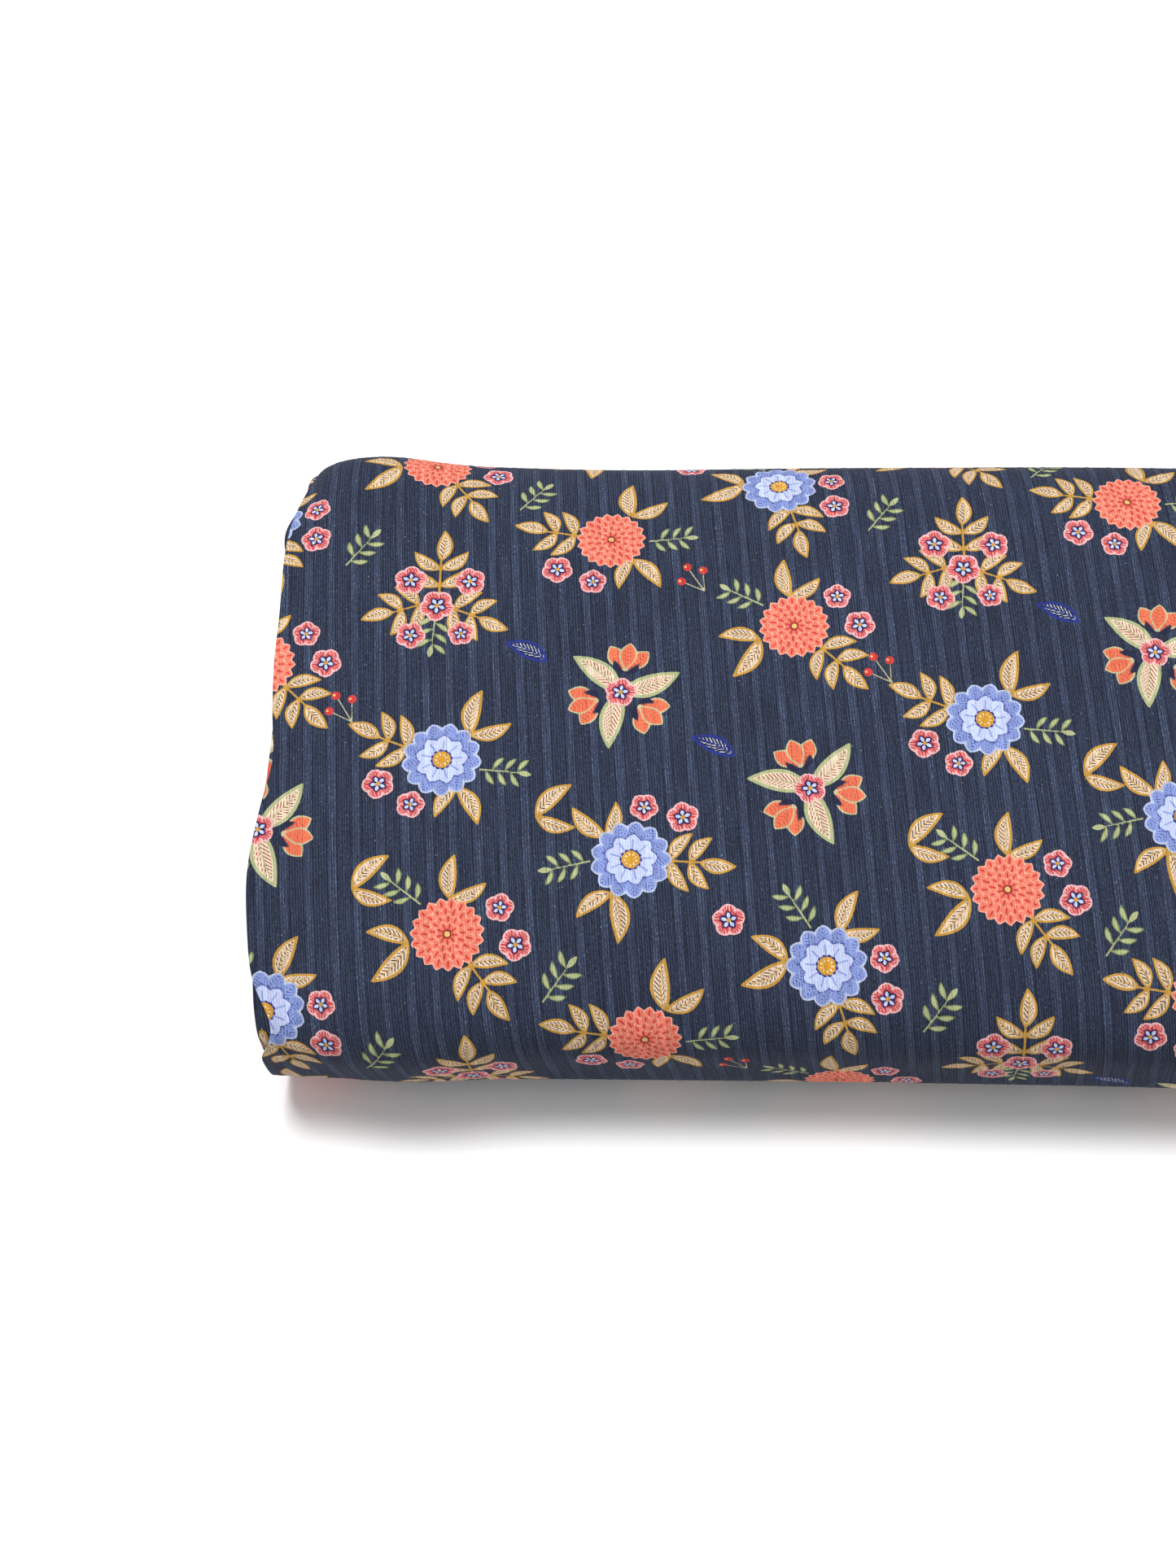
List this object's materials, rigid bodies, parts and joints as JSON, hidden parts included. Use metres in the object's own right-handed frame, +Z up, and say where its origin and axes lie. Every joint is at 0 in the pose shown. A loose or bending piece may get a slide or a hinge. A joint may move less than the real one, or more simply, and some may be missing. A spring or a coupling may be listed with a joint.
{
  "type": "fabric bolt",
  "caption": "Length of printed ribbed cloth, folded double and wound flat round a folding card board, lying on its back with its free end on the far side.",
  "frame": {"origin": "middle of the underside, where the bolt lies on a table", "axes": "+X along the bolt towards its selvedge end, +Y across it towards the far side where the free end is, +Z up"},
  "size_m": [0.56, 0.26, 0.09],
  "materials": {
    "cloth_print": "printed ribbed cloth, matt",
    "cloth_under": "printed ribbed cloth, matt",
    "card": "unbleached card, matt"
  },
  "bodies": {
    "wound_cloth": {"inner_turns": "cloth_under", "middle_turns": "cloth_under", "outer_turns": "cloth_under", "last_turn": "cloth_print"},
    "free_end": {"free_end": "cloth_print"},
    "board": {"board_sleeve": "card", "board_rib_1": "card", "board_rib_2": "card", "board_rib_3": "card", "left_near_dust_flap": "card", "left_far_dust_flap": "card", "right_near_dust_flap": "card", "right_far_dust_flap": "card"},
    "left_closing_flap": {"left_closing_flap": "card"},
    "right_closing_flap": {"right_closing_flap": "card"}
  },
  "joints": [
    {"name": "free_end_lift", "type": "hinge", "parent": "wound_cloth", "child": "free_end", "pos_m": [0, 0.12564, 0.06977], "axis": [1, 0, 0], "range_deg": [0, 150]},
    {"name": "board_slide", "type": "slide", "parent": "wound_cloth", "child": "board", "axis": [1, 0, 0], "range_m": [0, 0.555]},
    {"name": "left_flap_fold", "type": "hinge", "parent": "board", "child": "left_closing_flap", "pos_m": [-0.2733, 0, 0.0559], "axis": [0, 1, 0], "range_deg": [0, 90]},
    {"name": "right_flap_fold", "type": "hinge", "parent": "board", "child": "right_closing_flap", "pos_m": [0.2733, 0, 0.0559], "axis": [0, -1, 0], "range_deg": [0, 90]}
  ]
}
